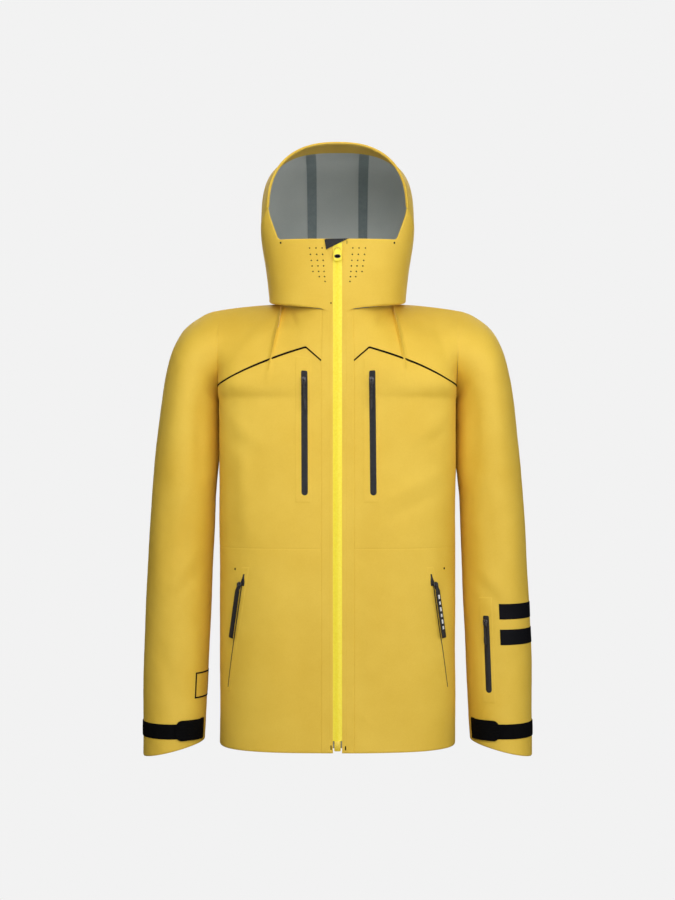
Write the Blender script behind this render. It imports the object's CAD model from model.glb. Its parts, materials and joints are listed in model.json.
"""Hardshell jacket: detailed cloth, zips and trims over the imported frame, with studio light.

Lengths in the surface functions are millimetres above the hem; pieces are made in metres.
"""
import json
import math

import bmesh
import bpy
import numpy as np
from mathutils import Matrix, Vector


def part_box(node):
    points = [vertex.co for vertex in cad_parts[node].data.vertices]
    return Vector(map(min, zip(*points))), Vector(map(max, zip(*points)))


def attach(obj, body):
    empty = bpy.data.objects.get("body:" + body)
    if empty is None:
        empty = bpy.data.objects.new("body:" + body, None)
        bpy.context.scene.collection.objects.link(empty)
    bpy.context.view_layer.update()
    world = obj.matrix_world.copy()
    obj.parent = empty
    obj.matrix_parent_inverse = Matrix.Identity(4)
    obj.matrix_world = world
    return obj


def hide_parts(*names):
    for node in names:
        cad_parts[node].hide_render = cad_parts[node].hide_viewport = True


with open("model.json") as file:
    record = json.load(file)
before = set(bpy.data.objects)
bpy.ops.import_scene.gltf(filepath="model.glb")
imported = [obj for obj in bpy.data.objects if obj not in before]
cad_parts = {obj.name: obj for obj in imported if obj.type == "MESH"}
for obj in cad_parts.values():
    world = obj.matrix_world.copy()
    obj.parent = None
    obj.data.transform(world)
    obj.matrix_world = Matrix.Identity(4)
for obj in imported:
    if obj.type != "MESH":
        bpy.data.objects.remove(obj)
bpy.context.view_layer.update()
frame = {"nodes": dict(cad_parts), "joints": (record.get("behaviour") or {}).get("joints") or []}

SIDES = {"left": 1, "right": -1}
RIGHT = math.pi / 2

# Cloth
FABRIC, TAPE = 1.5, 0.9
SEAM = 0.6

# Body, hood and sleeve sizes, as in the frame
HALF_WIDTH = 201.0
ZIP_FOOT_Y, ZIP_TOP_Y, CHIN_Z = -136.0, -112.0, 848.0
WAIST_Z, CHEST_Z, SHOULDER_Z = 335.0, 586.0, 738.0
ARMHOLE_X, ARMHOLE_DEPTH = 202.0, 76.0
NECK_HALF, NECK_BACK_Y, NECK_N, NECK_FRONT_Z = 95.0, 92.0, 2.6, 728.0
PLACKET_X, ZIP_X = 27.0, 7.4
PEAK_X = 52.5
HOOD_CENTRE_Z, HOOD_STRIP_X, RIM_LOW_Z, HOOD_SIDE_Z = 860.0, 46.0, 900.0, 757.0
BRIM_ANGLE, NAPE_ANGLE, ROLL = 125.0, -38.5, 0.12
SLEEVE_X = 204.6
LOOP_Y = 84.0

loop_low, loop_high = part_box("hang_loop")
SHIFT = np.array([0.0, (loop_low.y + loop_high.y) / 2 - LOOP_Y / 1000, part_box("back_lower")[0].z])


# ---- surfaces ---------------------------------------------------------------------------------

def smooth(knots):
    """A smooth function through (x, value) knots, level beyond the first and last."""
    xs, ys = np.array(knots, float).T
    last = len(xs) - 1
    ends = [(max(i - 1, 0), min(i + 1, last)) for i in range(len(xs))]
    slopes = np.array([(ys[b] - ys[a]) / (xs[b] - xs[a]) for a, b in ends])

    def value(x):
        x = np.clip(x, xs[0], xs[-1])
        i = np.clip(np.searchsorted(xs, x, side="right") - 1, 0, last - 1)
        step = xs[i + 1] - xs[i]
        t = (x - xs[i]) / step
        return ((2 * t**3 - 3 * t**2 + 1) * ys[i] + (t**3 - 2 * t**2 + t) * step * slopes[i]
                + (3 * t**2 - 2 * t**3) * ys[i + 1] + (t**3 - t**2) * step * slopes[i + 1])

    return value


def ease(t):
    t = np.clip(t, 0, 1)
    return t * t * (3 - 2 * t)


def points(x, y, z):
    return np.stack(np.broadcast_arrays(x, y, z), -1).astype(float)


def squircle(angle, n):
    c, s = np.cos(angle), np.sin(angle)
    r = (np.abs(c)**n + np.abs(s)**n)**(-1 / n)
    return r * c, r * s


def solve(f, low, high):
    """Where the rising function f crosses zero, for arrays of low and high."""
    low, high = (np.array(a, float) for a in np.broadcast_arrays(low, high))
    for _ in range(34):
        middle = (low + high) / 2
        below = f(middle) < 0
        low, high = np.where(below, middle, low), np.where(below, high, middle)
    return (low + high) / 2


def hermite(a, from_a, b, into_b, t):
    t = t[..., None]
    return (a * (2 * t**3 - 3 * t**2 + 1) + from_a * (t**3 - 2 * t**2 + t)
            + b * (3 * t**2 - 2 * t**3) + into_b * (t**3 - t**2))


def zip_y(z):
    return ZIP_FOOT_Y + (ZIP_TOP_Y - ZIP_FOOT_Y) * z / CHIN_Z


back_depth = smooth([(0, 112), (200, 108), (335, 110), (586, 128)])
squareness = smooth([(0, 3.0), (335, 3.2), (586, 4.5)])


def ring(angle, z):
    """The body's level outline; angle is 0 at the zip and 180 degrees at the back."""
    n = squareness(z)
    front = np.cos(angle) > 0
    depth = np.where(front, -zip_y(z), back_depth(z))
    chest = np.where(front, -zip_y(CHEST_Z), back_depth(CHEST_Z))
    s, c = np.sin(angle), np.cos(angle) * depth / chest
    r = (np.abs(s / HALF_WIDTH)**n + np.abs(c / depth)**n)**(-1 / n)
    return points(r * s, -r * c, z)


neck_z = smooth([(0, 728), (RIGHT, 749), (math.pi, 763)])


def neck(turn):
    """The neck seam; turn is 0 at the zip and 180 degrees at the back."""
    p, q = squircle(turn, NECK_N)
    return points(NECK_HALF * q, -p * np.where(p > 0, -zip_y(NECK_FRONT_Z), NECK_BACK_Y),
                  neck_z(turn))


def neck_turn(x):
    """The turn at which the front of the neck seam is x from the centre."""
    q = np.clip(x / NECK_HALF, 0, 1)
    return np.arctan2(q, (1 - q**NECK_N)**(1 / NECK_N))


def armhole(s, side):
    """The armhole's front (side -1) or back (side 1), from the underarm, s = 0, to the top."""
    y = side * ARMHOLE_DEPTH * np.maximum(np.sin(np.pi * s), 0)**0.85
    return points(ARMHOLE_X, y, CHEST_Z + (SHOULDER_Z - CHEST_Z) * s)


def plain_body(angle, h):
    """The body's outer face: h is the height up to the chest and runs on over the shoulder."""
    angle, h = (np.array(a, float) for a in np.broadcast_arrays(angle, h))
    flip = np.where(angle > math.pi, -1.0, 1.0)
    a = np.where(angle > math.pi, 2 * math.pi - angle, angle)
    low = ring(a, np.minimum(h, CHEST_Z))
    s = np.clip((h - CHEST_Z) / (SHOULDER_Z - CHEST_Z), 0, 1)
    side = np.where(a < RIGHT, -1.0, 1.0)
    start = ring(a, CHEST_Z)
    off = np.abs(a - RIGHT) / RIGHT
    turn_x = np.where(side < 0, ring(RIGHT / 2, CHEST_Z)[0], ring(3 * RIGHT / 2, CHEST_Z)[0])
    share = np.where(off > 0.5, start[..., 0] / turn_x, 1.0)
    turn = neck_turn(start[..., 0] - (turn_x - NECK_HALF) * share**2)
    at_neck = neck(np.where(side < 0, turn, np.pi - turn)) - [0, 0, SEAM]
    out = 1 - 2 * off
    side_z = neck_z(RIGHT) - SEAM
    fall = (side_z - SHOULDER_Z) * (0.35 * out + 0.65 * out**2)
    at_seam = points(NECK_HALF + (ARMHOLE_X - NECK_HALF) * out, side * 0.1, side_z - fall)
    top = np.where((off > 0.5)[..., None], at_neck, at_seam)
    rise = SHOULDER_Z - CHEST_Z
    lean = np.where(side < 0, (ZIP_TOP_Y - ZIP_FOOT_Y) / CHIN_Z, -0.25)
    upright = points(0, lean, 1) * (NECK_FRONT_Z - CHEST_Z)
    over = points(0, -side * 105, 25)
    into = upright + (over - upright) * (share**2)[..., None]
    leave = points(0, np.where(side < 0, lean, 0.02), 1) * rise * 0.95
    p = hermite(start, leave, top, into, s)
    edge = hermite(ring(RIGHT, CHEST_Z) + 0 * start, points(0, 0, 1) * rise * 0.95 + 0 * start,
                   points(ARMHOLE_X, side * 0.1, SHOULDER_Z), over, s)
    p = p + (armhole(s, side) - edge) * ((1 - off)**2)[..., None]
    p = np.where((h <= CHEST_Z)[..., None], low, p)
    p[..., 0] *= flip
    return p


EVEN_LOW_Z, EVEN_ROWS, EVEN_PASSES = 590, 51, 260


def evened_shoulders():
    """How far to move the body's points to even out the ridge that runs up to the neck."""
    degrees = np.arange(0, 181.0)
    heights = np.linspace(EVEN_LOW_Z, SHOULDER_Z, EVEN_ROWS)
    grid = plain_body(np.radians(degrees)[:, None], heights[None, :])
    even = grid.copy()
    hold = ease((degrees - 4) / 12) * ease((176 - degrees) / 12)
    hold *= ease((np.abs(degrees - 90) - 2) / 10)
    ridge = ease((degrees - 44) / 6)[:, None]
    pinned = ridge * (1 - ease((SHOULDER_Z - heights) / 9))[None, :]
    level = ease((heights - 600) / 60)[None, :] * (1 - pinned)
    weight = (hold[:, None] * level)[1:-1, :, None]
    for _ in range(EVEN_PASSES):
        even[1:-1] += 0.5 * weight * ((even[:-2] + even[2:]) / 2 - even[1:-1])
    return even - grid


EVENED = evened_shoulders()


def body(angle, h):
    """The body's outer face, with evened shoulders."""
    angle, h = (np.array(a, float) for a in np.broadcast_arrays(angle, h))
    p = plain_body(angle, h)
    flip = np.where(angle > math.pi, -1.0, 1.0)
    u = np.degrees(np.where(angle > math.pi, 2 * math.pi - angle, angle))
    u = np.clip(u, 0, 179.999)
    v = (h - EVEN_LOW_Z) / (SHOULDER_Z - EVEN_LOW_Z) * (EVEN_ROWS - 1)
    v = np.clip(v, 0, EVEN_ROWS - 1.001)
    i, j = u.astype(int), v.astype(int)
    a, b = (u - i)[..., None], (v - j)[..., None]
    move = ((EVENED[i, j] * (1 - a) + EVENED[i + 1, j] * a) * (1 - b)
            + (EVENED[i, j + 1] * (1 - a) + EVENED[i + 1, j + 1] * a) * b)
    move[..., 0] *= flip
    return p + move


def front_angle(x, z=CHEST_Z):
    """The ring angle of the column that is x from the centre at height z."""
    return solve(lambda a: ring(a, z)[..., 0] - x, 0 * np.asarray(x, float), RIGHT)


slope_z = smooth([(PEAK_X, 668), (90, 656.5), (130, 641.5), (165, 625.5), (200, 606.5)])


def piping_z(x):
    return np.where(x < PEAK_X, 668 - (PEAK_X - x) * 0.87, slope_z(x))


def piping_h(angle):
    def above(h):
        p = body(angle, h)
        return p[..., 2] - piping_z(p[..., 0])
    return solve(above, CHEST_Z - 20 + 0 * angle, SHOULDER_Z)


profile_r = smooth([(-40, 141), (0, 150), (45, 159), (90, 147), (107, 151), (BRIM_ANGLE, 181)])
hood_half = smooth([(0, 116), (0.1, 123), (0.22, 129), (0.45, 129), (0.75, 122), (1, 117)])
hood_n = smooth([(0, 2.4), (0.25, 3.2), (0.7, 3.0), (1, 2.6)])


def side_line_z(t):
    return RIM_LOW_Z - (RIM_LOW_Z - HOOD_SIDE_Z) * t**1.3


def side_line_y(z):
    return 10 - 100 * np.maximum((z - HOOD_SIDE_Z) / (RIM_LOW_Z - HOOD_SIDE_Z), 0)**3


def roll_under(start, down, turn, share):
    """From a lower edge, by share, round a knee and back to the neck seam."""
    share = np.asarray(share)[..., None]
    seam = neck(turn) + [0, 0, SEAM / 2]
    knee = start + [0, 0, -down]
    return start * (1 - share)**2 + knee * 2 * share * (1 - share) + seam * share**2


def hood(t, angle):
    """The hood behind the face: t is 0 at the rim and 1 at the nape, then the roll."""
    t, angle = (np.array(a, float) for a in np.broadcast_arrays(t, angle))
    flip = np.where(angle < 0, -1.0, 1.0)
    angle = np.abs(angle)
    along = np.minimum(t, 1)
    z = side_line_z(along)
    y = side_line_y(z)
    beta = BRIM_ANGLE + (NAPE_ANGLE - BRIM_ANGLE) * along
    r = profile_r(beta)
    top_y = r * np.cos(np.radians(beta))
    top_z = HOOD_CENTRE_Z + r * np.sin(np.radians(beta))
    p, q = squircle(angle, hood_n(along))
    point = points(hood_half(along) * q, y + (top_y - y) * p, z + (top_z - z) * p)
    turn = math.pi - math.radians(85) * angle / RIGHT
    rolled = roll_under(point, 10, turn, np.maximum(t - 1, 0) / ROLL)
    point = np.where((t > 1)[..., None], rolled, point)
    point[..., 0] *= flip
    return point


def cheek(angle, z):
    """The hood's side in front of the face, from the zip (angle 0) to its widest line."""
    t = (np.maximum(RIM_LOW_Z - z, 0) / (RIM_LOW_Z - HOOD_SIDE_Z))**(1 / 1.3)
    y = side_line_y(z)
    p, q = squircle(angle, 3.2)
    return points(hood_half(np.minimum(t, 1)) * q, y + (zip_y(z) - y) * p, z)


rim_x = smooth([(848, 99), (872, 108), (890, 114), (900, 116)])


def cheek_top(angle):
    """The chin guard's level top, rising along the face opening's rim at the sides."""
    z = solve(lambda h: rim_x(h) - cheek(angle, h)[..., 0], CHIN_Z + 0 * angle, RIM_LOW_Z)
    return np.where(rim_x(CHIN_Z) > cheek(angle, CHIN_Z)[..., 0], CHIN_Z, z)


def cheek_low(angle):
    return 737 + (HOOD_SIDE_Z - 737) * (angle / RIGHT)**1.5


def cheek_row(angle, v):
    """Cheek by share of its height; below 0 it folds under, except close to the zip."""
    angle, v = (np.array(a, float) for a in np.broadcast_arrays(angle, v))
    low = cheek_low(angle)
    face = cheek(angle, low + (cheek_top(angle) - low) * np.maximum(v, 0))
    start = cheek(angle, low)
    turn = neck_turn(start[..., 0] * NECK_HALF / hood_half(1)) + math.radians(5) * angle / RIGHT
    share = np.maximum(-v, 0) / ROLL
    under = roll_under(start, 7, turn, share)
    level = low + (NECK_FRONT_Z - low) * share
    straight = points(start[..., 0], zip_y(level) + start[..., 1] - zip_y(low), level)
    bend = ease((start[..., 0] - 13) / 20)[..., None]
    folded = straight * (1 - bend) + under * bend
    return np.where((v < 0)[..., None], folded, face)


outer_x = smooth([(0, 204.6), (0.02, 218), (0.05, 236), (0.10, 264), (0.15, 282), (0.20, 294),
                  (0.25, 301.5), (0.3, 307), (0.4, 315), (0.5, 320.5), (0.6, 325), (0.7, 329),
                  (0.8, 332), (1, 332)])
outer_z = smooth([(0, 738), (0.02, 735.5), (0.05, 727), (0.10, 704), (0.15, 670), (0.20, 628),
                  (0.25, 584), (0.3, 540), (0.6, 299), (0.92, 42), (1, -22)])
inner_x = smooth([(0, 204.6), (0.1, 204.9), (0.3, 205.6), (0.42, 208), (0.7, 217), (1, 227)])
inner_z = smooth([(0, 586), (0.1, 579), (0.2, 565), (0.3, 540), (0.6, 301), (0.92, 47), (1, 4)])
sleeve_depth = smooth([(0, 76), (0.1, 79), (0.2, 82), (0.3, 82), (0.5, 76), (0.7, 70), (1, 62)])


def sleeve(s, angle):
    """The left sleeve: s is 0 at the armhole, 1 at the cuff; angle 0 outside, -90 in front."""
    s, angle = (np.array(a, float) for a in np.broadcast_arrays(s, angle))
    round_off = np.minimum(s / 0.15, 1)
    turn = np.arctan2(np.sin(angle), np.cos(angle))
    lens = 1 - 2 * np.abs(turn) / np.pi
    e = lens + (np.cos(angle) - lens) * round_off
    swell = np.sign(np.sin(angle)) * np.abs(np.sin(angle))**(0.85 + 0.15 * round_off)
    x = (outer_x(s) + inner_x(s)) / 2 + (outer_x(s) - inner_x(s)) / 2 * e
    z = (outer_z(s) + inner_z(s)) / 2 + (outer_z(s) - inner_z(s)) / 2 * e
    y = -14 * s * s + sleeve_depth(s) * swell
    x = x - 2.55 * (1 - ease(s / 0.08))
    near = ease((0.47 - s) / 0.1) * ease((-e - 0.55) / 0.4)
    x = x - near * (inner_x(s) - 204.2 + 1.7 * (1 - np.exp(-(y / 20)**2)))
    return points(x, y, z)


def sleeve_at(z, angle):
    """The left sleeve's point at height z and an angle round it."""
    z, angle = (np.array(a, float) for a in np.broadcast_arrays(z, angle))
    s = solve(lambda share: z - sleeve(share, angle)[..., 2], 0.3 + 0 * z, 1)
    return sleeve(s, angle)


# ---- folds ------------------------------------------------------------------------------------

# Soft folds on the front face: from (x, z) to (x, z), half width, height; the wearer's left is +x
FOLDS = [
    (-196, 500, -176, 330, 17, -3.0), (-160, 520, -150, 360, 15, 1.6),
    (70, 408, 180, 466, 11, 1.5), (88, 386, 186, 436, 10, -1.2),
    (190, 380, 180, 190, 14, -2.4), (-186, 260, -190, 120, 14, -1.8),
    (198, 566, 130, 520, 13, 1.6), (196, 540, 140, 498, 11, -1.4),
    (-198, 566, -130, 512, 13, 1.4), (-197, 538, -140, 486, 11, -1.4),
    (-110, 706, -186, 660, 20, 2.0), (110, 704, 188, 662, 20, 1.8),
    (-150, 700, -192, 640, 10, -1.2), (165, 700, 196, 640, 10, -1.4),
    (-79, 727, -70, 708, 5, -2.6), (77, 727, 69, 709, 5, -2.4), (-90, 716, -112, 702, 8, -1.6),
    (24, 74, 62, 43, 2.6, 0.7), (-120, 300, -90, 120, 24, 1.0), (95, 330, 120, 120, 26, -0.9),
    (-60, 230, -70, 60, 16, -0.8), (60, 300, 52, 140, 18, 0.8),
    (-100, 585, -85, 470, 22, 1.0), (110, 600, 96, 520, 20, 0.9),
    (228, 585, 232, 470, 12, -2.4), (262, 640, 276, 470, 18, 2.0), (248, 420, 262, 300, 14, -2.0),
    (300, 420, 296, 260, 15, 1.6), (240, 300, 292, 245, 10, 1.2), (236, 276, 280, 226, 9, -1.2),
    (290, 150, 262, 70, 12, -1.2), (232, 190, 240, 80, 10, 1.2),
    (-228, 585, -234, 460, 12, -2.6), (-258, 650, -276, 460, 19, 2.2),
    (-244, 410, -268, 290, 14, -2.2), (-304, 430, -300, 250, 14, 1.8),
    (-236, 330, -290, 262, 11, 1.4), (-234, 296, -282, 236, 9, -1.4),
    (-296, 160, -268, 70, 12, -1.4), (-240, 180, -236, 90, 9, 1.3),
]
BACK_FOLDS = [
    (0, 700, 0, 430, 30, -2.0), (-150, 600, -60, 480, 18, 1.8), (150, 600, 60, 480, 18, 1.8),
    (-190, 520, -120, 430, 14, -1.8), (190, 520, 120, 430, 14, -1.8),
    (-120, 330, -100, 80, 24, 1.4), (110, 330, 90, 80, 24, -1.2), (20, 320, 10, 60, 28, 1.2),
    (262, 600, 280, 420, 18, 1.8), (-262, 600, -280, 420, 18, 1.8),
    (246, 380, 290, 300, 12, -1.8), (-246, 380, -290, 300, 12, -1.8),
]


def fold_height(p, folds):
    """Summed height of soft folds at points p."""
    total = np.zeros(p.shape[:-1])
    for x0, z0, x1, z1, width, height in folds:
        run = np.array([x1 - x0, z1 - z0], float)
        away = p[..., [0, 2]] - [x0, z0]
        t = np.clip(away @ run / (run @ run), 0, 1)
        gap = away - t[..., None] * run
        swell = 0.55 + 0.45 * np.sin(np.pi * t)
        total += height * swell * np.exp(-(gap**2).sum(-1) / width**2)
    return total


def unevenness(p):
    """Slight waviness all over the cloth."""
    x, y, z = p[..., 0], p[..., 1], p[..., 2]
    return (0.55 * np.sin(x / 31 + z / 83 + 0.7) * np.sin(z / 57 - x / 120 + 1.9)
            + 0.35 * np.sin(x / 17 - z / 49 + y / 40) * np.sin(z / 33 + y / 61 + 0.4)
            + 0.12 * np.sin(x / 6.1 + z / 11) * np.sin(z / 9.3 - y / 13 + 2))


def relief(p):
    """How far the cloth stands out of its plain surface."""
    x, y, z = p[..., 0], p[..., 1], p[..., 2]
    front = ease((20 - y) / 40)
    away = 1 - 0.9 * np.exp(-(x / 26)**2) * front
    torso = ease((206 - np.abs(x)) / 3)
    side_swell = 2.2 * np.exp(-(y / 18)**2) * ease((np.abs(x) - 185) / 12) * torso
    side_swell *= ease((z - 430) / 30) * ease((600 - z) / 20)
    under_hood = 1 - ease((z - 726) / 14) * 0.75
    folds = front * fold_height(p, FOLDS) + (1 - front) * fold_height(p, BACK_FOLDS)
    folds = folds * (1 - 0.9 * ease((np.abs(x) - 165) / 30) * torso)
    return (folds + unevenness(p)) * away * under_hood + side_swell


# ---- materials --------------------------------------------------------------------------------

def linear(r, g, b):
    """A colour of 0 to 255 levels as linear light."""
    return [((c / 255 + 0.055) / 1.055)**2.4 if c > 10 else c / 255 / 12.92 for c in (r, g, b)]


class Nodes:
    """A short way to write one material's nodes."""

    def __init__(self, name):
        self.material = bpy.data.materials.new(name)
        self.material.use_nodes = True
        self.tree = self.material.node_tree
        self.shader = self.tree.nodes["Principled BSDF"]
        self.place = self.add("ShaderNodeTexCoord").outputs["Object"]

    def add(self, kind, **values):
        node = self.tree.nodes.new(kind)
        for key, value in values.items():
            if key in node.inputs:
                node.inputs[key].default_value = value
            else:
                setattr(node, key, value)
        return node

    def link(self, a, b):
        self.tree.links.new(a, b)

    def noise(self, scale, detail=2.0, rough=0.5):
        node = self.add("ShaderNodeTexNoise", Scale=scale, Detail=detail, Roughness=rough)
        self.link(self.place, node.inputs["Vector"])
        return node.outputs["Fac"]

    def waves(self, axis, scale, wobble=0.0):
        node = self.add("ShaderNodeTexWave", Scale=scale, Distortion=wobble)
        node.bands_direction = axis
        self.link(self.place, node.inputs["Vector"])
        return node.outputs["Fac"]

    def ramp(self, value, stops):
        node = self.add("ShaderNodeValToRGB")
        while len(node.color_ramp.elements) < len(stops):
            node.color_ramp.elements.new(0.5)
        for element, (place, colour) in zip(node.color_ramp.elements, stops):
            element.position = place
            element.color = (*colour, 1)
        self.link(value, node.inputs["Fac"])
        return node.outputs["Color"]

    def math(self, how, a, b):
        node = self.add("ShaderNodeMath", operation=how)
        for slot, value in enumerate((a, b)):
            if isinstance(value, (int, float)):
                node.inputs[slot].default_value = value
            else:
                self.link(value, node.inputs[slot])
        return node.outputs[0]

    def between(self, value, low, high):
        node = self.add("ShaderNodeMapRange")
        node.inputs["To Min"].default_value = low
        node.inputs["To Max"].default_value = high
        self.link(value, node.inputs["Value"])
        return node.outputs[0]

    def bump(self, layers):
        """Bumps one on another: (height, distance in metres)."""
        last = None
        for height, distance in layers:
            node = self.add("ShaderNodeBump", Distance=distance)
            self.link(height, node.inputs["Height"])
            if last is not None:
                self.link(last, node.inputs["Normal"])
            last = node.outputs["Normal"]
        self.link(last, self.shader.inputs["Normal"])


def fabric(name, dark, light, rough=(0.5, 0.62), specular=0.3, sheen=0.2, tint=(1, 1, 1),
           thread=1500.0, grain=0.00003):
    """Plain-woven shell cloth: fine crossed threads, slight mottling and soft sheen."""
    n = Nodes(name)
    mottle = n.noise(9, 3, 0.55)
    fine = n.noise(420, 2, 0.6)
    mixed = n.math("ADD", n.math("MULTIPLY", mottle, 0.75), n.math("MULTIPLY", fine, 0.25))
    n.link(n.ramp(mixed, [(0.32, dark), (0.68, light)]), n.shader.inputs["Base Color"])
    n.link(n.between(n.noise(60, 3), *rough), n.shader.inputs["Roughness"])
    weave = n.math("ADD", n.waves("DIAGONAL", thread, 0.4), n.waves("Z", thread, 0.4))
    n.bump([(n.noise(34, 3, 0.5), 0.0005), (weave, grain)])
    n.shader.inputs["Specular IOR Level"].default_value = specular
    n.shader.inputs["Sheen Weight"].default_value = sheen
    n.shader.inputs["Sheen Roughness"].default_value = 0.4
    n.shader.inputs["Sheen Tint"].default_value = (*tint, 1)
    return n.material


def tape_cloth(name, dark, light, rough=(0.4, 0.55), specular=0.4, thread=900.0, grain=0.00008):
    """Ribbed woven tape or webbing."""
    n = Nodes(name)
    n.link(n.ramp(n.noise(160, 3, 0.6), [(0.3, dark), (0.7, light)]),
           n.shader.inputs["Base Color"])
    n.link(n.between(n.noise(220, 2), *rough), n.shader.inputs["Roughness"])
    n.bump([(n.waves("Z", thread, 0.6), grain), (n.noise(900, 2), 0.00004)])
    n.shader.inputs["Specular IOR Level"].default_value = specular
    return n.material


def moulded(name, dark, light, rough=(0.3, 0.42), metal=0.0, coat=0.0):
    """Moulded plastic or lacquered metal with a faint cast texture."""
    n = Nodes(name)
    n.link(n.ramp(n.noise(300, 3, 0.6), [(0.3, dark), (0.7, light)]),
           n.shader.inputs["Base Color"])
    n.link(n.between(n.noise(500, 2), *rough), n.shader.inputs["Roughness"])
    n.bump([(n.noise(1400, 2), 0.00003)])
    n.shader.inputs["Metallic"].default_value = metal
    n.shader.inputs["Coat Weight"].default_value = coat
    return n.material


GOLD_TINT = linear(255, 226, 130)
MATERIALS = {
    "shell_yellow": fabric("shell_yellow", linear(226, 186, 62), linear(236, 199, 76),
                           tint=GOLD_TINT),
    "zip_yellow": moulded("zip_yellow", linear(246, 222, 36), linear(252, 234, 60), (0.32, 0.45)),
    "facing_gold": fabric("facing_gold", linear(222, 182, 62), linear(232, 192, 74),
                          tint=GOLD_TINT),
    "lining_grey": fabric("lining_grey", linear(200, 206, 203), linear(213, 217, 214),
                          thread=1100.0, grain=0.00005),
    "tape_grey": tape_cloth("tape_grey", linear(134, 146, 148), linear(145, 156, 158),
                            (0.3, 0.42)),
    "zip_black": tape_cloth("zip_black", linear(22, 22, 25), linear(35, 35, 39), (0.42, 0.55)),
    "trim_black": tape_cloth("trim_black", linear(3, 3, 4), linear(7, 7, 8), (0.75, 0.9), 0.1),
    "print_black": fabric("print_black", linear(6, 6, 10), linear(12, 12, 17),
                          rough=(0.6, 0.75), specular=0.12, sheen=0.0),
    "slider_metal": moulded("slider_metal", linear(58, 58, 62), linear(84, 84, 90),
                            (0.22, 0.35), 0.7, 0.2),
    "slider_yellow": moulded("slider_yellow", linear(222, 190, 50), linear(240, 210, 66)),
    "pull_black": moulded("pull_black", linear(18, 17, 20), linear(34, 33, 37), (0.35, 0.5)),
    "mark_white": moulded("mark_white", linear(214, 214, 212), linear(236, 236, 234)),
}


# ---- mesh builders ----------------------------------------------------------------------------


def finish_mesh(name, verts, faces, skins, body_name, nodes=(), skin_of=None, sharp=None,
                smooth=True, turn_outwards=False):
    """An object from millimetre points, riding on a body; sharp is an angle in degrees."""
    mesh = bpy.data.meshes.new(name)
    mesh.from_pydata((np.asarray(verts) / 1000 + SHIFT).tolist(), [], faces)
    for skin in skins:
        mesh.materials.append(MATERIALS[skin])
    if turn_outwards:
        work = bmesh.new()
        work.from_mesh(mesh)
        bmesh.ops.recalc_face_normals(work, faces=work.faces)
        work.to_mesh(mesh)
        work.free()
    if skin_of is not None:
        mesh.polygons.foreach_set("material_index", np.asarray(skin_of, np.int32))
    if smooth:
        mesh.polygons.foreach_set("use_smooth", np.ones(len(mesh.polygons), bool))
    if sharp is not None:
        mesh.set_sharp_from_angle(angle=math.radians(sharp))
    mesh.update()
    made = bpy.data.objects.new(name, mesh)
    bpy.context.scene.collection.objects.link(made)
    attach(made, body_name)
    if nodes:
        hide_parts(*nodes)
    return made


def unit(v):
    return v / np.maximum(np.linalg.norm(v, axis=-1, keepdims=True), 1e-9)


def normals_of(grid, inside):
    n = unit(np.cross(np.gradient(grid, axis=0), np.gradient(grid, axis=1)))
    i, j = grid.shape[0] // 2, grid.shape[1] // 2
    middle = grid[i, j]
    sign = 1 if n[i, j] @ (middle - inside(middle)) > 0 else -1
    return n * sign, sign


def run_lengths(grid, axis):
    """Distance along each grid line from its start, and from its end."""
    steps = np.linalg.norm(np.diff(grid, axis=axis), axis=-1)
    pad = [(0, 0), (0, 0)]
    pad[axis] = (1, 0)
    ahead = np.pad(np.cumsum(steps, axis=axis), pad)
    total = np.take(ahead, [-1], axis=axis)
    return ahead, total - ahead


def rim_loop(nu, nv):
    """The border of a grid in the order that its faces go round."""
    index = np.arange(nu * nv).reshape(nu, nv)
    return np.concatenate([index[:-1, 0], index[-1, :-1], index[:0:-1, -1], index[0, :0:-1]])


def solid_faces(nu, nv, sign):
    """Faces of a closed sheet: outer grid, inner grid and the walls between."""
    index = np.arange(nu * nv).reshape(nu, nv)
    outer = np.stack([index[:-1, :-1], index[1:, :-1], index[1:, 1:], index[:-1, 1:]], -1)
    outer = outer.reshape(-1, 4)
    inner = outer[:, ::-1] + nu * nv
    loop = rim_loop(nu, nv)
    after = np.roll(loop, -1)
    wall = np.stack([after, loop, loop + nu * nv, after + nu * nv], -1)
    faces = np.concatenate([outer, inner, wall])
    if sign < 0:
        faces = faces[:, ::-1]
    skin = np.concatenate([np.zeros(len(outer)), np.ones(len(inner)), np.zeros(len(wall))])
    return faces, skin


def body_inside(p):
    return np.array([p[0] * 0.2, 0, min(p[2], 640)])


def hood_inside(p):
    return np.array([0, 15, max(p[2] - 60, 800) if p[2] > 800 else p[2] + 15])


def arm_inside(p):
    return np.array([math.copysign(SLEEVE_X + 55 if p[2] > 600 else 275, p[0]), -5,
                     min(p[2], 640)])


ROLL_WIDTH = 2.2            # how far in from an edge the cloth starts to turn
CLOTH_SHARP = 48


def cloth(name, grid, inside, side=1, thick=FABRIC, lift=0.0, roll=(0, 0, 0, 0),
          skins=("shell_yellow", "lining_grey"), body_name="shell", nodes=None,
          shaped=True):
    """A closed sheet over a grid of points; roll is how deep each border turns in."""
    grid = grid * [side, 1, 1]
    n, sign = normals_of(grid, inside)
    out = lift + (relief(grid) if shaped else 0.0) + np.zeros(grid.shape[:2])
    for axis in (0, 1):
        ahead, behind = run_lengths(grid, axis)
        for depth, gap in ((roll[2 * axis], ahead), (roll[2 * axis + 1], behind)):
            out -= depth * np.maximum(1 - gap / ROLL_WIDTH, 0)**2
    outer = grid + n * out[..., None]
    inner = grid + n * (out - thick)[..., None]
    verts = np.concatenate([outer.reshape(-1, 3), inner.reshape(-1, 3)])
    faces, skin = solid_faces(*grid.shape[:2], sign)
    made = finish_mesh(name + "_cloth", verts, faces.tolist(), skins, body_name,
                       (name,) if nodes is None else nodes, skin, sharp=CLOTH_SHARP)


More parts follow.
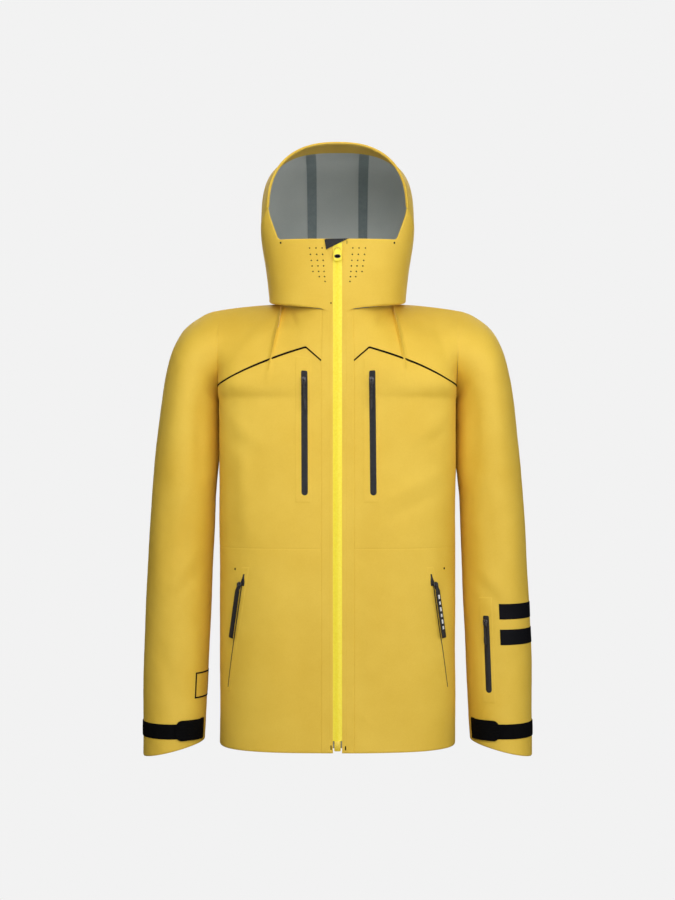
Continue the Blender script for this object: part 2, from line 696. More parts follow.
def ticks(a, b, count, length):
    """Even steps from a to b, with close ones at both ends; length in millimetres."""
    near = np.array([0, 0.5, 1.1, 2.2]) / length
    share = np.concatenate([near, np.linspace(0, 1, count)[1:-1], 1 - near[::-1]])
    share = np.unique(np.round(share[(share >= 0) & (share <= 1)], 6))
    return a + (b - a) * share


def grid_of(f, us, vs):
    u, v = np.meshgrid(us, vs, indexing="ij")
    return f(u, v)


# ---- body -------------------------------------------------------------------------------------

STEP = 4.2          # size of a cloth face


def count(length):
    return max(int(length / STEP), 4)


PLACKET_ANGLE = float(front_angle(PLACKET_X))
SIDE_ANGLE = RIGHT - 0.0004          # the side seam, just on the front


def between(low, high):
    """The body by share of the height between two seams, given as functions of the angle."""
    return lambda a, v: body(a, low(a) + (high(a) - low(a)) * v)


def make_front(name, side):
    """One side's strip beside the zip, lower panel, chest panel, yoke and piping."""
    peak = float(front_angle(PEAK_X))
    angles = ticks(PLACKET_ANGLE, SIDE_ANGLE, count(250), 250)
    across = np.unique(np.concatenate([angles, [peak]]))
    lower = grid_of(body, angles, ticks(0, WAIST_Z, count(WAIST_Z), WAIST_Z))
    cloth("front_lower_" + name, lower, body_inside, side, roll=(0.5, 0.2, 0.9, 0.35))
    chest = grid_of(between(lambda a: WAIST_Z + 0 * a, piping_h), across,
                    ticks(0, 1, count(310), 310))
    cloth("front_chest_" + name, chest, body_inside, side, roll=(0.5, 0, 0.3, 0.3))
    yoke = grid_of(between(piping_h, lambda a: SHOULDER_Z + 0 * a), across,
                   ticks(0, 1, count(130), 130))
    cloth("front_yoke_" + name, yoke, body_inside, side, roll=(0.5, 0, 0.3, 0))
    line = np.unique(np.concatenate([np.linspace(PLACKET_ANGLE, RIGHT - 0.03, 90), [peak]]))
    welt = grid_of(lambda a, v: body(a, piping_h(a) + 1.45 * v), line, np.linspace(-1, 1, 7))
    dome = 0.6 + 0.6 * np.sqrt(np.maximum(1 - np.linspace(-1, 1, 7)**2, 0))[None, :]
    cloth("yoke_piping_" + name, welt, body_inside, side, thick=0.9, lift=dome,
          skins=("trim_black", "trim_black"))
    xs = np.array([ZIP_X, 7.9, 8.6, 10, 12.2, 13.1, 13.8, 14.5, 15.4, 18, 21, 24, 25.5, 26.4,
                   PLACKET_X])
    strip = grid_of(body, front_angle(xs), ticks(0, SHOULDER_Z, count(728), 728))
    groove = -0.3 * np.exp(-((xs - 13.8) / 0.6)**2)[:, None]
    cloth("front_placket_" + name, strip, body_inside, side, lift=0.45 + groove,
          roll=(0.3, 0.45, 0.9, 0.2))


def make_back():
    angles = ticks(RIGHT, 3 * RIGHT, count(520), 520)
    lower = grid_of(body, angles, ticks(0, WAIST_Z, count(WAIST_Z), WAIST_Z))
    cloth("back_lower", lower, body_inside, roll=(0.2, 0.2, 0.9, 0.35))
    upper = grid_of(body, angles, ticks(WAIST_Z, SHOULDER_Z, count(420), 420))
    cloth("back_upper", upper, body_inside, roll=(0, 0, 0.3, 0))


def make_facings():
    turn = np.linspace(PLACKET_ANGLE, 2 * math.pi - PLACKET_ANGLE, count(900))
    hem = grid_of(body, turn, np.array([2, 3, 5, 14, 24, 34, 38, 39.5, 40]))
    cloth("hem_facing", hem, body_inside, thick=TAPE, lift=-FABRIC - 0.3, roll=(0, 0, 0.4, 0.4),
          skins=("facing_gold", "facing_gold"))
    line = grid_of(lambda t, v: neck(t) * 0.96 + points(0, 0, neck_z(t) * 0.04 - 4 - 12 * v),
                   np.linspace(math.radians(105), math.radians(255), 60), np.linspace(0, 1, 7))
    cloth("neck_tape", line, lambda p: np.array([0, 0, p[2]]), thick=TAPE, shaped=False,
          skins=("tape_grey", "tape_grey"))


# ---- hood -------------------------------------------------------------------------------------

def strip_angle(t):
    along = np.minimum(t, 1)
    q = HOOD_STRIP_X / hood_half(along)
    n = hood_n(along)
    return np.arctan2(q, (1 - q**n)**(1 / n))


def hood_band(low, high):
    return lambda t, v: hood(t, low(t) + (high(t) - low(t)) * v)


def bead(name, line, radius, inside):
    """A round cord of cloth along a line of points, closed at both ends."""
    along = unit(np.gradient(line, axis=0))
    away = unit(line - np.array([inside(p) for p in line]))
    away = unit(away - along * (away * along).sum(-1, keepdims=True))
    across = np.cross(along, away)
    centre = line + away * relief(line)[:, None]
    sides = 12
    turn = np.arange(sides) * 2 * math.pi / sides
    size = np.full(len(line), radius)
    size[[0, -1]] = radius * 0.35
    size[[1, -2]] = radius * 0.8
    spokes = (np.cos(turn)[None, :, None] * away[:, None, :]
              + np.sin(turn)[None, :, None] * across[:, None, :])
    verts = (centre[:, None, :] + size[:, None, None] * spokes).reshape(-1, 3)
    index = np.arange(len(verts)).reshape(len(line), sides)
    after = np.roll(index, -1, axis=1)
    faces = np.stack([index[:-1], index[1:], after[1:], after[:-1]], -1).reshape(-1, 4).tolist()
    faces += [index[0].tolist(), index[-1][::-1].tolist()]
    finish_mesh(name, verts, faces, ("shell_yellow",), "shell")


def make_hood():
    ts = np.concatenate([ticks(0, 1, count(430), 430)[:-1], np.linspace(1, 1 + ROLL, 15)])
    band = hood_band(lambda t: -strip_angle(t), strip_angle)
    cloth("hood_center", grid_of(band, ts, ticks(0, 1, count(100), 100)), hood_inside,
          roll=(0.3, 0, 0.45, 0.45))
    sides = hood_band(strip_angle, lambda t: RIGHT + 0 * t)
    rows = np.concatenate([np.linspace(-ROLL, 0, 15)[:-1], ticks(0, 1, count(110), 110)])
    for name, side in SIDES.items():
        cloth("hood_side_" + name, grid_of(sides, ts, ticks(0, 1, count(190), 190)), hood_inside,
              side, roll=(0.3, 0, 0.45, 0.15))
        chin = grid_of(cheek_row, ticks(math.radians(3.5), RIGHT, count(200), 200), rows)
        cloth("chin_panel_" + name, chin, hood_inside, side, roll=(0.3, 0.15, 0, 0.6))
    brim = grid_of(hood, ticks(0.006, 0.115, 12, 50),
                   np.linspace(-RIGHT + 0.03, RIGHT - 0.03, count(330)))
    cloth("hood_brim", brim, hood_inside, thick=TAPE, lift=-FABRIC - 0.4, roll=(0.3, 0.3, 0, 0),
          skins=("facing_gold", "facing_gold"))
    tapes = hood_band(lambda t: strip_angle(t) - 0.062, lambda t: strip_angle(t) + 0.062)
    tape = grid_of(tapes, np.linspace(0.125, 0.97, count(350)), ticks(0, 1, 6, 16))
    for name, side in SIDES.items():
        cloth("hood_seam_tape_" + name, tape, hood_inside, side, thick=0.7, lift=-FABRIC - 0.15,
              roll=(0, 0, 0.3, 0.3), skins=("tape_grey", "tape_grey"),
              nodes=("hood_seam_tape",))
    bead("hood_rim_bead", hood(0.004, np.linspace(-RIGHT, RIGHT, 150)), 1.35, hood_inside)


for side_name, side_sign in SIDES.items():
    make_front(side_name, side_sign)
make_back()
make_facings()
make_hood()


# ---- zips -------------------------------------------------------------------------------------

JOINTS = {j["name"]: j for j in frame["joints"]}


def zip_plane(x, z):
    return points(x, zip_y(z), z)


def pin_seat(zip_name, suffix):
    """Turns points drawn round a pull's pin (x across, y inwards, z up) into place."""
    swing = JOINTS[zip_name + "_zip_pull_swing" + suffix]
    slide = JOINTS[zip_name + "_zip_slide" + suffix]
    at = (np.array(swing["pos_m"]) - SHIFT) * 1000
    right = -unit(np.array(swing["axis"], float))
    up = -unit(np.array(slide["axis"], float))
    back = np.cross(up, right)
    return lambda p: at + p[..., 0:1] * right + p[..., 1:2] * back + p[..., 2:3] * up


def lofted(name, loops, skin, body_name, nodes=(), ring_shaped=False):
    """A closed solid through loops of points; ring_shaped joins the last loop to the first."""
    loops = np.asarray(loops, float)
    rows, sides = loops.shape[:2]
    index = np.arange(rows * sides).reshape(rows, sides)
    after = np.roll(index, -1, axis=1)
    if ring_shaped:
        below = np.roll(index, -1, axis=0)
        faces = np.stack([index, after, np.roll(below, -1, axis=1), below], -1)
        faces = faces.reshape(-1, 4).tolist()
    else:
        faces = np.stack([index[:-1], after[:-1], after[1:], index[1:]], -1)
        faces = faces.reshape(-1, 4).tolist()
        faces += [index[0][::-1].tolist(), index[-1].tolist()]
    finish_mesh(name, loops.reshape(-1, 3), faces, (skin,), body_name, nodes, sharp=40,
                turn_outwards=True)


def rounded_loop(half_x, half_y, corner, level, sides=28, centre=(0.0, 0.0)):
    """A rounded rectangle in the x-y plane at height level."""
    turn = np.arange(sides) * 2 * math.pi / sides
    n = max(half_x, half_y) / corner + 1
    c, s = squircle(turn, min(max(n, 2), 8))
    return points(centre[0] + half_x * c, centre[1] + half_y * s, level)


def outline_plate(seat, outline, thick, bevel, hole=None):
    """Loops of a bevelled plate with its outline in x-z, with an optional oval hole."""
    middle = np.array([0, outline[:, 1].mean()])
    inset = middle + (outline - middle) * (1 - bevel / np.abs(outline - middle).max(0))
    half = thick / 2
    stack = [(inset, -half), (outline, -half + bevel), (outline, half - bevel), (inset, half)]
    if hole is not None:
        stack = [(hole, -half)] + stack + [(hole, half)]
    return [seat(points(line[:, 0], depth, line[:, 1])) for line, depth in stack]


SLIDER_LENGTH = 13.0


def slider_body(name, seat, width, skin):
    """A die-cast slider: wide shoulders, a waist, a domed top and a bridge over the pin."""
    levels = np.linspace(-0.75, 0.25, 13) * SLIDER_LENGTH
    loops = []
    for k, level in enumerate(levels):
        t = k / (len(levels) - 1)
        half = width / 2 * (0.70 + 0.30 * ease((t - 0.15) / 0.5) - 0.12 * ease((t - 0.85) / 0.15))
        rise = 1.0 + 0.5 * math.sin(math.pi * t)
        edge = 0.55 if k in (0, len(levels) - 1) else 1
        loops.append(seat(rounded_loop(half * edge, rise * edge, 1.4, level, centre=(0, 3.1))))
    lofted(name + "_body", loops, skin, name, (name,))
    bridge = []
    for turn in np.linspace(0.15, math.pi - 0.15, 9):
        ring_points = rounded_loop(width * 0.17, 0.55, 0.5, 0, 12)
        radius = 3.1 + ring_points[:, 1]
        bridge.append(seat(points(ring_points[:, 0], 2.4 - radius * math.sin(turn) * 1.25,
                                  radius * math.cos(turn) - 0.2)))
    lofted(name + "_bridge", bridge, skin, name)


def pull_ring(name, seat):
    """The wire ring that hangs from the pin."""
    half_x, half_z, wire = 1.9, 3.4, 0.75
    spin = np.arange(8) * 2 * math.pi / 8
    loops = []
    for turn in np.arange(20) * 2 * math.pi / 20:
        x = np.sin(turn) * (half_x + wire * np.cos(spin))
        z = np.cos(turn) * (half_z + wire * np.cos(spin)) - half_z
        loops.append(seat(points(x, wire * np.sin(spin), z)))
    lofted(name + "_ring", loops, "slider_metal", name, ring_shaped=True)


def pocket_slider(zip_name, suffix):
    """A pocket zip's slider and ring; gives back the pull's name and seat."""
    seat = pin_seat(zip_name, suffix)
    pull = zip_name + "_zip_pull" + suffix
    slider_body(zip_name + "_zip_slider" + suffix, seat, 8.0, "slider_metal")
    pull_ring(pull, seat)
    return pull, seat


def cord_pull(name, seat, length, lean=0.0):
    """A doubled cord from the ring, into a small moulded end."""
    z = np.linspace(-5.5, -(length - 15), 14)
    for k, sign in enumerate((-1, 1)):
        x = sign * (0.75 + 0.25 * np.cos(z * 0.9)) + lean * z
        y = 0.5 * np.sin(z * 0.5 + k)
        loops = [seat(rounded_loop(0.85, 0.85, 0.85, c, 10, (a, b))) for a, b, c in zip(x, y, z)]
        lofted(name + "_cord_" + "ab"[k], loops, "pull_black", name)
    loops = []
    for k, level in enumerate(np.linspace(-(length - 16), -length, 8)):
        swell = min(max(k / 7 * 1.1 - 0.05, 0), 1)
        size = 0.55 + 0.45 * math.sin(math.pi * swell)**0.4
        loops.append(seat(rounded_loop(2.3 * size, 1.25 * size, 1.6, level, 18,
                                       (lean * level, 0))))
    lofted(name + "_end", loops, "pull_black", name, (name,))


def webbing_pull(name, seat, width, length, marked):
    """A folded webbing band from the ring; marked adds plain white stitch bars."""
    across = np.linspace(-1, 1, 9)[:, None]
    along = np.linspace(-5, -length, count(length) + 20)
    narrow = 0.55 + 0.45 * ease((-along - 5) / 8)
    rib = 0.12 * np.sin(along * 2.2)
    grid = seat(points(across * narrow[None, :] * width / 2,
                       -0.9 - 0.25 * (1 - across**2) - rib[None, :] * 0.5, along[None, :]))
    inwards = seat(np.array([0.0, 40.0, -length / 2]))
    cloth(name + "_band", grid, lambda p: inwards, thick=1.5, roll=(0.35, 0.35, 0.3, 0.5),
          skins=("pull_black", "pull_black"), body_name=name, nodes=(name,), shaped=False)
    if marked:
        for k in range(6):
            tall = 2.6 if k % 2 else 3.4
            z = np.linspace(-tall, tall, 4) - (22 + k * 10.5)
            bar = points(np.linspace(-1.7, 1.7, 5)[:, None], -1.25, z[None, :])
            cloth("%s_bar_%d" % (name, k), seat(bar), lambda p: inwards, thick=0.5, lift=0.25,
                  roll=(0.15,) * 4, skins=("mark_white", "mark_white"), body_name=name,
                  nodes=(), shaped=False)


COIL_PITCH = 2.1


def make_front_zip():
    xs = np.array([0.0, 0.25, 0.6, 1.1, 1.7, 2.3, 2.9, 3.5, 4.2, 5.0, 6.0, 6.9, 7.6])
    step = 0.5
    zs = np.arange(20.0, CHIN_Z - 1.5, step)
    dome = 1.15 * np.exp(-(xs / 3.9)**2) + 0.3 - 0.35 * np.exp(-(xs / 0.35)**2)
    teeth = 0.17 * np.sin(2 * math.pi * zs / COIL_PITCH)[None, :]
    teeth = teeth * np.exp(-((xs - 1.6) / 1.6)**4)[:, None]
    for name, side in SIDES.items():
        grid = zip_plane(xs[:, None], zs[None, :])
        cloth("front_zip_tape_" + name, grid, body_inside, side, thick=1.6,
              lift=dome[:, None] + teeth * side, skins=("zip_yellow", "lining_grey"), shaped=False)
    flap = grid_of(zip_plane, np.linspace(-21, 21, 9), np.linspace(8, 838, 60))
    cloth("storm_flap", flap, body_inside, thick=TAPE, lift=-3.8, shaped=False,
          skins=("lining_grey", "lining_grey"))
    foot = []
    for level, half in ((3.6, 4.4), (4.4, 5.3), (12, 5.4), (19.2, 5.3), (20, 4.4)):
        loop = rounded_loop(half, 1.7 if half > 5 else 1.1, 1.6, level)
        loop[:, 1] += zip_y(level) - 0.6
        foot.append(loop)
    lofted("front_zip_box_shape", foot, "slider_yellow", "shell", ("front_zip_box",))
    seat = pin_seat("front", "")
    slider_body("front_zip_slider", seat, 10.0, "slider_yellow")
    make_front_pull(seat)


def make_front_pull(seat):
    """A wide tapered tab with an oval eyelet."""
    t = np.linspace(0, 2 * math.pi, 41)[:-1]
    wide = 7.6 - 3.2 * ease((0.5 * np.cos(t) + 0.25) / 0.75)
    tab = np.stack([wide * np.sign(np.sin(t)) * np.abs(np.sin(t))**0.55,
                    -9.6 + 10.6 * np.sign(np.cos(t)) * np.abs(np.cos(t))**0.7], -1)

    def oval(half_x, half_z):
        return np.stack([half_x * np.sin(t), -12.4 + half_z * np.cos(t)], -1)

    def back(p):
        return seat(p + [0, -0.9, 0])

    name = "front_zip_pull"
    lofted(name + "_tab", outline_plate(back, tab, 2.2, 0.5, oval(5.2, 3.2)), "zip_yellow", name,
           (name,), ring_shaped=True)
    lofted(name + "_eyelet", outline_plate(back, oval(5.3, 3.3), 2.9, 0.35, oval(3.9, 2.0)),
           "pull_black", name, ring_shaped=True)
    lofted(name + "_plug", outline_plate(back, oval(4.1, 2.2), 1.6, 0.3), "trim_black", name)


def pocket_tape(name, surface, inside, half, length, side=1, body_name="shell"):
    """A flat coated tape with a fine meeting line; surface(u, v) takes u from -1 to 1."""
    us = np.array([-1, -0.93, -0.82, -0.6, -0.35, -0.16, -0.08, 0, 0.08, 0.16, 0.35, 0.6, 0.82,
                   0.93, 1])
    near = np.array([0.02, 0.25, 0.6, 1.1, 1.8, 2.7, 3.8, 5.0]) / length
    vs = np.unique(np.concatenate([near, np.linspace(5.5 / length, 1 - 3 / length, 40),
                                   1 - near[:3]]))
    taper = np.sqrt(np.clip(1 - (1 - np.minimum(vs * length / half, 1))**2, 0.02, 1))
    grid = surface(us[:, None] * taper[None, :], vs[None, :])
    lift = 0.75 + 0.5 * np.exp(-(us / 0.42)**2) - 0.45 * np.exp(-(us / 0.07)**2)
    cloth(name, grid, inside, side, thick=1.0, lift=lift[:, None], roll=(0.4,) * 4,
          skins=("zip_black", "zip_black"), body_name=body_name)


CHEST_ZIP_X, CHEST_ZIP_Z = 56.5, (423.0, 629.0)


def make_chest_zip(name, side):
    low, high = CHEST_ZIP_Z
    centre, lean = (57.2, 2.2) if side > 0 else (54.8, -0.6)

    def surface(u, v):
        x = centre + lean * (1 - v) + 5.5 * u
        return body(front_angle(x), low + (high - low) * v)

    pocket_tape("chest_zip_tape_" + name, surface, body_inside, 5.5, high - low, side)
    xs = ticks(CHEST_ZIP_X - 13.5, CHEST_ZIP_X + 13.5, 8, 27)
    welt = grid_of(lambda x, z: body(front_angle(x), z), xs, ticks(411, 650, count(239), 239))
    cloth("chest_pocket_welt_" + name, welt, body_inside, side, thick=0.9, lift=0.4,
          roll=(0.38,) * 4, skins=("shell_yellow", "shell_yellow"), nodes=())
    bag = grid_of(body, np.linspace(float(front_angle(34)), float(front_angle(150)), 26),
                  np.linspace(low - 10, high + 2, 40))
    cloth("chest_pocket_bag_" + name, bag, body_inside, side, thick=TAPE, lift=-FABRIC - 1.6,
          skins=("lining_grey", "lining_grey"), nodes=("chest_pocket_bag",))
    pull, seat = pocket_slider("chest", "_" + name)
    cord_pull(pull, seat, 50, -0.05 if side < 0 else 0.01)


HAND_ZIP_Z, HAND_ZIP_ANGLE = (106.0, 286.0), (1.18, 1.015)


def hand_point(offset, v):
    """Points offset millimetres to the outside of the hand zip, at share v of its height."""
    low, high = HAND_ZIP_Z
    foot, top = HAND_ZIP_ANGLE
    angle = foot + (top - foot) * v
    z = low + (high - low) * v
    here, there = body(angle, z), body(angle + 0.01, z)
    reach = np.linalg.norm(there - here, axis=-1)
    return body(angle + offset * 0.01 / reach, z)


def make_hand_zip(name, side):
    us = np.linspace(-1, 1, 11)
    vs = ticks(-0.02, 1.01, count(190), 190)
    lip = grid_of(lambda u, v: hand_point(1.1 * u, v), us, vs)
    ridge = 0.35 + 0.5 * (1 - us**2)
    cloth("hand_zip_tape_" + name, lip, body_inside, side, thick=1.0, lift=ridge[:, None],
          skins=("zip_black", "zip_black"))
    welt = grid_of(hand_point, ticks(-9, 6, 8, 15), ticks(-0.06, 1.1, count(200), 200))
    cloth("hand_pocket_welt_" + name, welt, body_inside, side, thick=0.9, lift=0.45,
          roll=(0.42,) * 4, skins=("shell_yellow", "shell_yellow"), nodes=())

    def wedge(u, v):
        return hand_point(-1.2 + 3.8 * u * (0.35 + 0.65 * ease((1.02 - v) / 0.07)), v)

    garage = grid_of(wedge, us, ticks(0.925, 1.035, 9, 20))
    cloth("hand_zip_garage_" + name, garage, body_inside, side, thick=1.0, lift=1.5,
          roll=(0.5,) * 4, skins=("zip_black", "zip_black"), nodes=())
    bag = grid_of(body, np.linspace(0.62, 1.14, 24), np.linspace(92, 292, 40))
    cloth("hand_pocket_bag_" + name, bag, body_inside, side, thick=TAPE, lift=-FABRIC - 1.6,
          skins=("lining_grey", "lining_grey"), nodes=("hand_pocket_bag",))
    pull, seat = pocket_slider("hand", "_" + name)
    webbing_pull(pull, seat, 9.0, 92, side > 0)


# ---- sleeves ----------------------------------------------------------------------------------

SLEEVE_ZIP_Z, SLEEVE_ZIP_ANGLE = (90.0, 220.0), math.radians(-115)
TAB_HINGE, TAB_TIP = math.radians(-150), math.radians(-97)


def arm_patch(name, low, high, a, b, side=1, lift=1.0, thick=0.8, skin="print_black",
              roll=(0.3,) * 4, across=None, nodes=None):
    """Trim on a sleeve between two heights and two angles."""
    width, height = abs(b - a) * 60, high - low
    us = ticks(a, b, count(width) + 3, width)
    vs = ticks(0, 1, max(count(height), 5), height)
    grid = grid_of(lambda u, v: sleeve_at(low + height * v, u), us, vs)
    extra = across(grid) if across else 0
    cloth(name, grid, arm_inside, side, thick=thick, lift=lift + extra, roll=roll,
          skins=(skin, skin), body_name="sleeve_left" if side > 0 else "sleeve_right",
          nodes=nodes)


def hook_pile(grid):
    """The fuzzy loops of the cuff strip."""
    x, y, z = grid[..., 0], grid[..., 1], grid[..., 2]
    return 0.12 * np.sin(x * 2.1 + z * 3.3) * np.sin(y * 2.7 - z * 1.9)


def make_cuff_tab(name, side):
    """The tab, rounded at its free end and ribbed, and the root that holds it."""
    low, high = 10, 44

    def outline(angle, v):
        near_tip = np.clip((angle - TAB_TIP + 0.2) / 0.2, 0, 1)
        half = np.sqrt(np.clip(1 - near_tip**2, 0.06, 1))**0.7
        return sleeve_at(low + (high - low) * (0.5 + (v - 0.5) * half), angle)

    us = ticks(TAB_HINGE, TAB_TIP, 34, 56)
    grid = grid_of(outline, us, ticks(0, 1, 40, 34))
    ribs = 0.22 * np.sin(grid[..., 2] * 1.35) * ease((us[:, None] - TAB_HINGE - 0.12) / 0.05)
    cloth("cuff_tab_" + name, grid, arm_inside, side, thick=1.5, lift=3.7 + ribs,
          roll=(0.5,) * 4, skins=("trim_black", "trim_black"), body_name="cuff_tab_" + name)
    arm_patch("cuff_tab_root_" + name, 9.5, 44.5, TAB_HINGE - 0.16, TAB_HINGE + 0.02, side, 2.2,
              1.6, "trim_black", (0.6,) * 4, nodes=())


def make_sleeve(name, side):
    rows = ticks(0, 1, count(800), 800)
    body_name = "sleeve_" + name
    for half, a, b in (("front", -math.pi, 0), ("back", 0, math.pi)):
        angles = ticks(a, b, count(210), 210)
        grid = sleeve(rows[None, :], angles[:, None])
        cloth(body_name + "_" + half, grid, arm_inside, side, body_name=body_name,
              roll=(0.3, 0.3, 0, 0.9))
        facing = sleeve(np.linspace(0.955, 0.995, 6)[None, :],
                        np.linspace(a + 0.01, b - 0.01, 40)[:, None])
        cloth("cuff_facing_" + name + "_" + half, facing, arm_inside, side, thick=TAPE,
              lift=-FABRIC - 0.3, skins=("facing_gold", "facing_gold"), body_name=body_name,
              nodes=("cuff_facing_" + name,))
    arm_patch("cuff_loop_strip_" + name, 13, 38, math.radians(-122), math.radians(60), side,
              1.5, 0.9, "trim_black", (0.5,) * 4, hook_pile)
    make_cuff_tab(name, side)


def make_sleeve_pocket():
    low, high = SLEEVE_ZIP_Z

    def surface(u, v):
        return sleeve_at(low + (high - low) * v, SLEEVE_ZIP_ANGLE + 0.095 * u)

    pocket_tape("sleeve_zip_tape", surface, arm_inside, 5.7, high - low,
                body_name="sleeve_left")
    arm_patch("sleeve_pocket_welt", 73, 251, SLEEVE_ZIP_ANGLE - 0.23, SLEEVE_ZIP_ANGLE + 0.2,
              lift=0.4, thick=0.9, skin="shell_yellow", roll=(0.38,) * 4, nodes=())
    arm_patch("sleeve_pocket_bag", low - 6, high + 4, SLEEVE_ZIP_ANGLE - 0.1,
              math.radians(-45), lift=-FABRIC - 1.6, thick=TAPE, skin="lining_grey",
              roll=(0,) * 4)
    pull, seat = pocket_slider("sleeve", "")
    cord_pull(pull, seat, 40)


def make_sleeve_marks():
    for k, z in enumerate((171.0, 214.0)):
        arm_patch("sleeve_bars_%d" % k, z, z + 26, math.radians(-92), math.radians(50),
                  lift=0.75, thick=0.7, nodes=("sleeve_bars",))
    low, high, line = 79.0, 123.0, 2.6
    a, b = math.radians(-190), math.radians(-132)
    edge = line / 60
    sides = ((low, low + line, a, b), (high - line, high, a, b),
             (low + line, high - line, a, a + edge), (low + line, high - line, b - edge, b))
    for k, (z0, z1, a0, a1) in enumerate(sides):
        arm_patch("sleeve_outline_%d" % k, z0, z1, a0, a1, -1, 0.7, 0.6, roll=(0.2,) * 4,
                  nodes=("sleeve_outline",))


# ---- small marks ------------------------------------------------------------------------------

def on_cheek(x, z):
    angle = solve(lambda a: cheek(a, z)[..., 0] - x, 0 * np.asarray(x, float), RIGHT)
    return cheek(angle, z)


def tack(name, surface, x, z, width, height, inside, lift):
    """A dense bar of stitching."""
    side = -1 if x < 0 else 1
    us = np.linspace(-1, 1, 7)
    vs = np.linspace(-1, 1, 15)
    grid = grid_of(lambda u, v: surface(abs(x) + width / 2 * u * side, z + height / 2 * v), us,
                   vs)
    threads = 0.12 * np.cos(vs * height * 2.2)[None, :]
    cloth(name, grid, inside, side, thick=0.9, lift=lift + threads, roll=(0.3,) * 4,
          skins=("trim_black", "trim_black"), nodes=())


def on_front(x, z):
    return body(front_angle(x, np.minimum(z, CHEST_Z)), z)


HOLE_ROWS = (832.4, 821.8, 811.8, 802.6, 793.4, 784.8, 776.8)
HOLE_PROFILE = ((1.25, -0.9), (1.25, 0.16), (0.95, 0.2), (0.8, 0.02))      # radius, height


def hole_places():
    """Three columns of holes, fewer in the last rows, lean towards the zip."""
    for side in (-1, 1):
        for row, z in enumerate(HOLE_ROWS):
            xs = (25.4 - 0.8 * row, 35.6 - 1.1 * row, 46.2 - 1.4 * row)
            for x in xs[:3 if row < 5 else 7 - row]:
                yield side, x, z


def make_holes():
    """Breathing holes beside the chin: dark discs let into the cloth."""
    verts, faces = [], []
    sides = 12
    turn = np.arange(sides) * 2 * math.pi / sides
    for side, x, z in hole_places():
        at, beside, above = (on_cheek(np.array(x + dx), np.array(z + dz)) * [side, 1, 1]
                             for dx, dz in ((0, 0), (0.5, 0), (0, 0.5)))
        across, up = unit(beside - at), unit(above - at)
        out = np.cross(across, up)
        out = unit(out * (1 if out[1] < 0 else -1))
        first = len(verts)
        at = at + out * float(relief(at[None])[0])
        for radius, height in HOLE_PROFILE:
            verts += [at + out * height + radius * (math.cos(a) * across + math.sin(a) * up)
                      for a in turn]
        for base in first + sides * np.arange(len(HOLE_PROFILE) - 1):
            for k in range(sides):
                after = (k + 1) % sides
                faces.append([base + k, base + after, base + sides + after, base + sides + k])
        last = first + sides * (len(HOLE_PROFILE) - 1)
        faces.append([first + k for k in range(sides)][::-1])
        faces.append([last + k for k in range(sides)])
    finish_mesh("breathing_holes", verts, faces, ("print_black",), "shell", smooth=False,
                turn_outwards=True)


# Name, surface, x, z, width, height, a point inside, lift
TACKS = (
    ("tack_hem_right", on_front, -10.6, 9.5, 1.8, 7.0, body_inside, 1.2),
    ("tack_hem_left", on_front, 13.2, 8.5, 1.8, 7.0, body_inside, 1.2),
    ("tack_neck", on_cheek, -10.8, 741.0, 1.8, 2.6, hood_inside, 0.7),
    ("tack_chin_right", on_cheek, -94.5, 842.5, 2.4, 3.2, hood_inside, 0.7),
    ("tack_chin_left", on_cheek, 94.5, 842.5, 2.4, 3.2, hood_inside, 0.7),
    ("chin_slit", on_cheek, 15.6, 842.0, 1.3, 8.0, hood_inside, 0.35),
    ("tack_pocket_right", on_front, -170.5, 300.0, 2.2, 3.4, body_inside, 0.7),
    ("tack_pocket_left", on_front, 178.5, 300.5, 2.2, 3.4, body_inside, 0.7),
)


def make_chin_corner():
    """The black folded corner over the zip's top."""
    t = np.linspace(0, 1, 13)
    top_left, top_right = np.array([-22.0, 847.4]), np.array([18.6, 848.2])
    tip = np.array([-18.8, 829.6])
    grid = (top_left[None, None] * (1 - t)[:, None, None]
            + (top_right[None, None] * (1 - t)[None, :, None]
               + tip[None, None] * t[None, :, None]) * t[:, None, None])
    flat = points(grid[..., 0], zip_y(grid[..., 1]) - 2.2
                  - 1.12 * np.sin(np.pi * t)[:, None] * np.sin(np.pi * t)[None, :],
                  grid[..., 1])
    cloth("chin_garage", flat[1:], body_inside, thick=1.0, lift=0.0, roll=(0.2, 0.35, 0.3, 0.3),
          skins=("zip_black", "zip_black"), shaped=False)


def dress_hang_loop():
    """A material and softened edges for the frame's own hang loop."""
    loop = frame["nodes"]["hang_loop"]
    loop.data.materials.clear()
    loop.data.materials.append(MATERIALS["zip_black"])
    loop.data.set_sharp_from_angle(angle=math.radians(35))
    bevel = loop.modifiers.new("soft_edges", "BEVEL")
    bevel.width, bevel.segments = 0.0003, 2


make_front_zip()
for side_name, side_sign in SIDES.items():
    make_chest_zip(side_name, side_sign)
    make_hand_zip(side_name, side_sign)
    make_sleeve(side_name, side_sign)
make_sleeve_pocket()
make_sleeve_marks()
make_holes()
for tack_facts in TACKS:
    tack(*tack_facts)
make_chin_corner()
dress_hang_loop()


# ---- camera, light and floor ------------------------------------------------------------------

CAMERA_PLACE, LENS, SENSOR = (0.0, -3.084, 0.498), 69.8, 36.0


def make_camera():
    data = bpy.data.cameras.new("camera")
    data.lens, data.sensor_width = LENS, SENSOR
    camera = bpy.data.objects.new("camera", data)
    camera.location = Vector(CAMERA_PLACE) + Vector((0, 0, SHIFT[2]))
    camera.rotation_euler = (RIGHT, 0, 0)
    bpy.context.scene.collection.objects.link(camera)
    bpy.context.scene.camera = camera


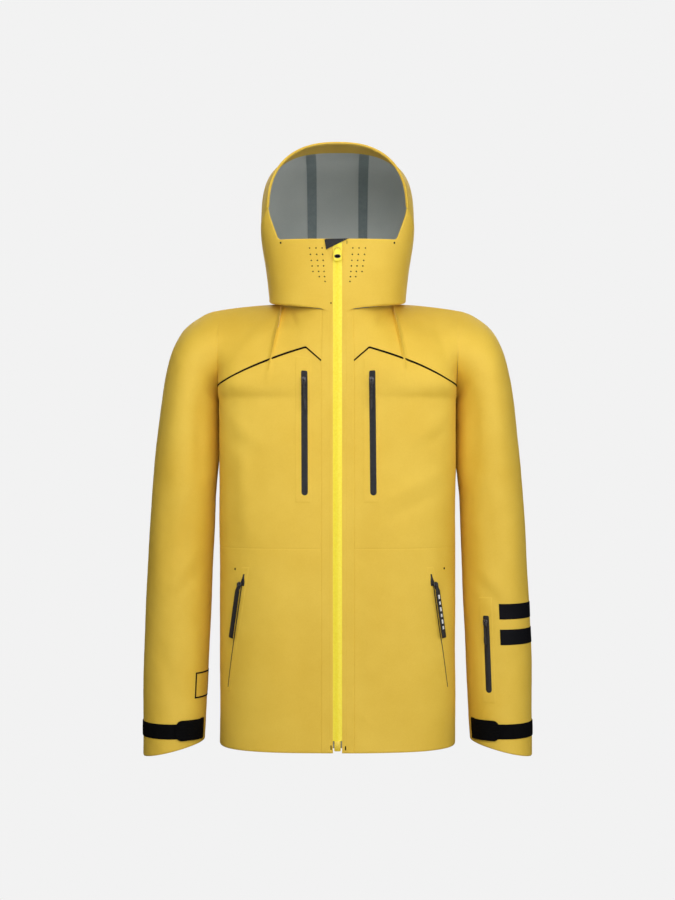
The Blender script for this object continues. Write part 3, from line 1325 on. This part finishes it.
def area_light(name, place, target, size, power, spread=180):
    """A rectangular lamp at a place, turned to its target; spread is in degrees."""
    data = bpy.data.lights.new(name, "AREA")
    data.shape, data.size, data.size_y = "RECTANGLE", *size
    data.energy, data.spread = power, math.radians(spread)
    lamp = bpy.data.objects.new(name, data)
    lamp.location = Vector(place)
    lamp.rotation_euler = (Vector(target) - Vector(place)).to_track_quat("-Z", "Y").to_euler()
    bpy.context.scene.collection.objects.link(lamp)


PALE = linear(242, 242, 242)


def make_studio():
    """Soft lamps round a plain floor and backdrop of one pale tone."""
    mesh = bpy.data.meshes.new("floor")
    half, level = 30.0, float(SHIFT[2]) - 0.5
    mesh.from_pydata([(x, y, level) for x, y in ((-half, -half), (half, -half), (half, half),
                                                 (-half, half))], [], [(0, 1, 2, 3)])
    n = Nodes("floor")
    n.shader.inputs["Base Color"].default_value = (0, 0, 0, 1)
    n.shader.inputs["Specular IOR Level"].default_value = 0
    n.shader.inputs["Emission Color"].default_value = (*PALE, 1)
    n.shader.inputs["Emission Strength"].default_value = 1.0
    mesh.materials.append(n.material)
    floor = bpy.data.objects.new("floor", mesh)
    floor.visible_diffuse = floor.visible_glossy = floor.visible_shadow = False
    bpy.context.scene.collection.objects.link(floor)
    world = bpy.data.worlds.new("studio")
    bpy.context.scene.world = world
    world.use_nodes = True
    world.node_tree.nodes["Background"].inputs["Color"].default_value = (*PALE, 1)
    world.cycles_visibility.diffuse = False
    world.cycles_visibility.glossy = False
    area_light("key", (-0.6, -2.7, 1.3), (0, 0, -0.1), (2.8, 2.4), 56)
    area_light("fill", (1.5, -2.6, 0.2), (0, 0, -0.2), (2.4, 2.6), 36)
    area_light("left", (-2.7, -0.9, 0.2), (0, 0, -0.1), (2.0, 2.4), 7)
    area_light("right", (2.7, -0.9, 0.2), (0, 0, -0.1), (2.0, 2.4), 13)
    area_light("top", (0, -0.6, 2.4), (0, 0, 0), (2.4, 1.6), 20)
    area_light("low", (0, -2.4, -1.2), (0, 0, 0), (2.6, 1.0), 11)
    area_light("hood", (0, -1.3, -0.9), (0, 0.05, 0.24), (0.6, 0.6), 0.13, spread=24)
    area_light("back", (0, 2.8, 0.8), (0, 0, -0.2), (3.0, 2.4), 46)
    bpy.context.scene.view_settings.view_transform = "Standard"


make_camera()
make_studio()
